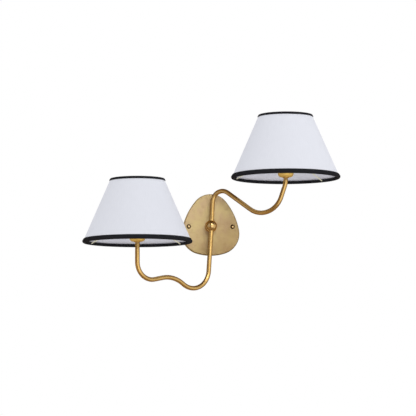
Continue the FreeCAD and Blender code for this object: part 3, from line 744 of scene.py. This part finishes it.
def bulb(name, foot):
    """Opal glass of one bulb: a ball that runs into its neck along a tangent."""
    body = name + "_bulb"
    centre = (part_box(name + "_bulb_glass")[1].z - foot.z) / MM - GLASS_RADIUS
    shoulder = (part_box(name + "_bulb_cap")[1].z - foot.z) / MM + GLASS_GAP
    drop = centre - shoulder
    meet = math.atan2(-drop, GLASS_NECK_RADIUS) + math.acos(GLASS_RADIUS / math.hypot(GLASS_NECK_RADIUS, drop))
    glass = [
        (0, shoulder + GLASS_LIP[0][1]),
        *((radius, shoulder + over) for radius, over in GLASS_LIP),
        (GLASS_NECK_RADIUS, shoulder + GLASS_GAP),
        *arc(0, centre, GLASS_RADIUS, math.degrees(meet), 90, GLASS_STEPS),
    ]
    piece(
        name + "_opal_glass", moved(turned(glass, closed=False), foot), body, opal,
        (name + "_bulb_glass",),
    )
    dress(cap_metal, name + "_bulb_cap", name + "_bulb_contact")
    dress(black_glass, name + "_bulb_insulator")


for name, lamp in LAMPS.items():
    cup_low, cup_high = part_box(name + "_cup")
    foot = Vector(((cup_low.x + cup_high.x) / 2, (cup_low.y + cup_high.y) / 2, cup_low.z - CUP_BASE * MM))
    arm(name, lamp, foot)
    socket(name, foot)
    shade(name, foot, lamp["fitter_turn"])
    bulb(name, foot)


# Studio; its places and sizes are in metres

AMBIENT = 0.92
SKY_COLOR = (0.99, 0.99, 1.0)
LOOK_AT = Vector((0, -0.1, 0.05))
KEY_PLACE = (1.1, -1.7, 0.9)
KEY_SIZE = 1.2
KEY_POWER = 6.0
FLOOR_PLACE = (0, -0.5, -2.45)
FLOOR_SIZE = 12.0
FLOOR_COLOR = (0.86, 0.86, 0.87)
WHITE = (1, 1, 1)
DIM = (1.0, 0.78, 0.54)
DOME = 2.4

# Reflectors, glowing cards that are no lamps and paint reflections and highlights into the metal: name, degrees
# to the left (-) or right (+) of straight out from the wall, degrees above level, strength, colour and
# distance. A nearer one covers those behind it.

REFLECTORS = (
    ("left flag", (-180, -15), (-60, 58), 0.24, DIM, DOME),
    ("right flag", (96, 180), (-60, 58), 0.28, DIM, DOME),
    ("left high card", (-80, -30), (14, 45), 0.5, DIM, 2.35),
    ("left low card", (-110, -45), (-45, 0), 0.65, DIM, 2.35),
    ("top flag", (-180, 180), (58, 90), 0.12, DIM, DOME),
    ("low flag", (-180, 180), (-90, -40), 0.42, DIM, DOME),
    ("upper card", (-15, 96), (14, 58), 0.45, WHITE, DOME),
    ("bright strip", (-12, 36), (-40, 14), 1.6, WHITE, DOME),
    ("side card", (36, 96), (-40, 14), 1.0, WHITE, DOME),
    # A painted highlight on the ball and tubes, where no lamp is.
    ("painted highlight glow", (-3, 11), (18, 40), 10.0, WHITE, 2.3),
)
REFLECTOR_GRID = (16, 12)


def seen_as_white(tree):
    """A plain white for the camera, for reflections and through glass, mixed over what the tree had."""
    path = add_node(tree, "ShaderNodeLightPath").outputs
    mask = path["Is Camera Ray"]
    for ray in ("Is Glossy Ray", "Is Transmission Ray"):
        mask = calculated(tree, "MAXIMUM", mask, path[ray])
    end = next(n for n in tree.nodes if n.type in ("OUTPUT_WORLD", "OUTPUT_MATERIAL")).inputs["Surface"]
    kind = "ShaderNodeEmission" if end.node.type == "OUTPUT_MATERIAL" else "ShaderNodeBackground"
    white = add_node(tree, kind, Color=opaque(WHITE), Strength=1.0)
    choose = add_node(
        tree, "ShaderNodeMixShader", {0: mask, 1: end.links[0].from_socket, 2: white.outputs[0]}
    )
    tree.links.new(choose.outputs[0], end)


world = bpy.data.worlds.new("studio")
bpy.context.scene.world = world
world.use_nodes = True
plain = world.node_tree.nodes["Background"]
plain.inputs["Color"].default_value = opaque(SKY_COLOR)
plain.inputs["Strength"].default_value = AMBIENT
seen_as_white(world.node_tree)

key = bpy.data.lights.new("key light", "AREA")
key.shape = "SQUARE"
key.size = KEY_SIZE
key.energy = KEY_POWER
key_light = bpy.data.objects.new("key light", key)
aim = (LOOK_AT - Vector(KEY_PLACE)).to_track_quat("-Z", "Y").to_matrix().to_4x4()
key_light.matrix_world = Matrix.Translation(KEY_PLACE) @ aim
bpy.context.scene.collection.objects.link(key_light)


def studio_piece(name, bm, paint):
    """A piece of the studio, which isn't part of the sconce."""
    mesh = bpy.data.meshes.new(name)
    bm.to_mesh(mesh)
    bm.free()
    thing = bpy.data.objects.new(name, mesh)
    bpy.context.scene.collection.objects.link(thing)
    mesh.materials.append(paint)
    return thing


def reflector(name, sides, heights, strength, color, distance):
    """Part of a dome round the sconce that glows, though it is no lamp, and that only reflections see: a
    painted dark flag or a painted bright strip in the metal.
    """
    bm = bmesh.new()
    bmesh.ops.create_grid(bm, x_segments=REFLECTOR_GRID[0], y_segments=REFLECTOR_GRID[1], size=0.5)
    for vert in bm.verts:
        turn = math.radians(sides[0] + (vert.co.x + 0.5) * (sides[1] - sides[0]))
        lift = math.radians(heights[0] + (vert.co.y + 0.5) * (heights[1] - heights[0]))
        vert.co = LOOK_AT + distance * Vector(
            (math.sin(turn) * math.cos(lift), -math.cos(turn) * math.cos(lift), math.sin(lift))
        )
    paint = bpy.data.materials.new(name)
    paint.use_nodes = True
    glow = add_node(paint.node_tree, "ShaderNodeEmission", Strength=strength, Color=opaque(color))
    end = paint.node_tree.nodes["Material Output"].inputs["Surface"]
    paint.node_tree.links.new(glow.outputs[0], end)
    thing = studio_piece(name, bm, paint)
    thing.visible_camera = thing.visible_diffuse = thing.visible_shadow = thing.visible_transmission = False


for row in REFLECTORS:
    reflector(*row)

# The floor is seen from above only, so that it can't hide the sconce from below.

pale = Finish("pale floor", FLOOR_COLOR, 0.9)
seen_as_white(pale.tree)
end = pale.tree.nodes["Material Output"].inputs["Surface"]
side = add_node(pale.tree, "ShaderNodeNewGeometry").outputs["Backfacing"]
clear = add_node(pale.tree, "ShaderNodeBsdfTransparent").outputs[0]
open_below = add_node(pale.tree, "ShaderNodeMixShader", {0: side, 1: end.links[0].from_socket, 2: clear})
pale.tree.links.new(open_below.outputs[0], end)
ground = bmesh.new()
bmesh.ops.create_grid(ground, x_segments=1, y_segments=1, size=FLOOR_SIZE / 2)
studio_piece("floor", moved(ground, FLOOR_PLACE), pale.material)

# Camera: a long lens, low and a little to the left, solved from the two shades and the plate

CAMERA_PLACE = (-0.4228, -5.0332, -0.4435)
YAW, PITCH, ROLL = (math.radians(angle) for angle in (4.75, 5.455, -0.134))
SENSOR_WIDTH = 36.0
LENS = 216.3
CLIP_END = 50

aim = (
    Matrix.Rotation(-YAW, 4, "Z") @ Matrix.Rotation(math.pi / 2 + PITCH, 4, "X")
    @ Matrix.Rotation(ROLL, 4, "Z")
)
data = bpy.data.cameras.new("camera")
data.sensor_width = SENSOR_WIDTH
data.lens = LENS
data.clip_end = CLIP_END
camera = bpy.data.objects.new("camera", data)
camera.matrix_world = Matrix.Translation(CAMERA_PLACE) @ aim
bpy.context.scene.collection.objects.link(camera)
bpy.context.scene.camera = camera
bpy.context.scene.view_settings.view_transform = "Standard"
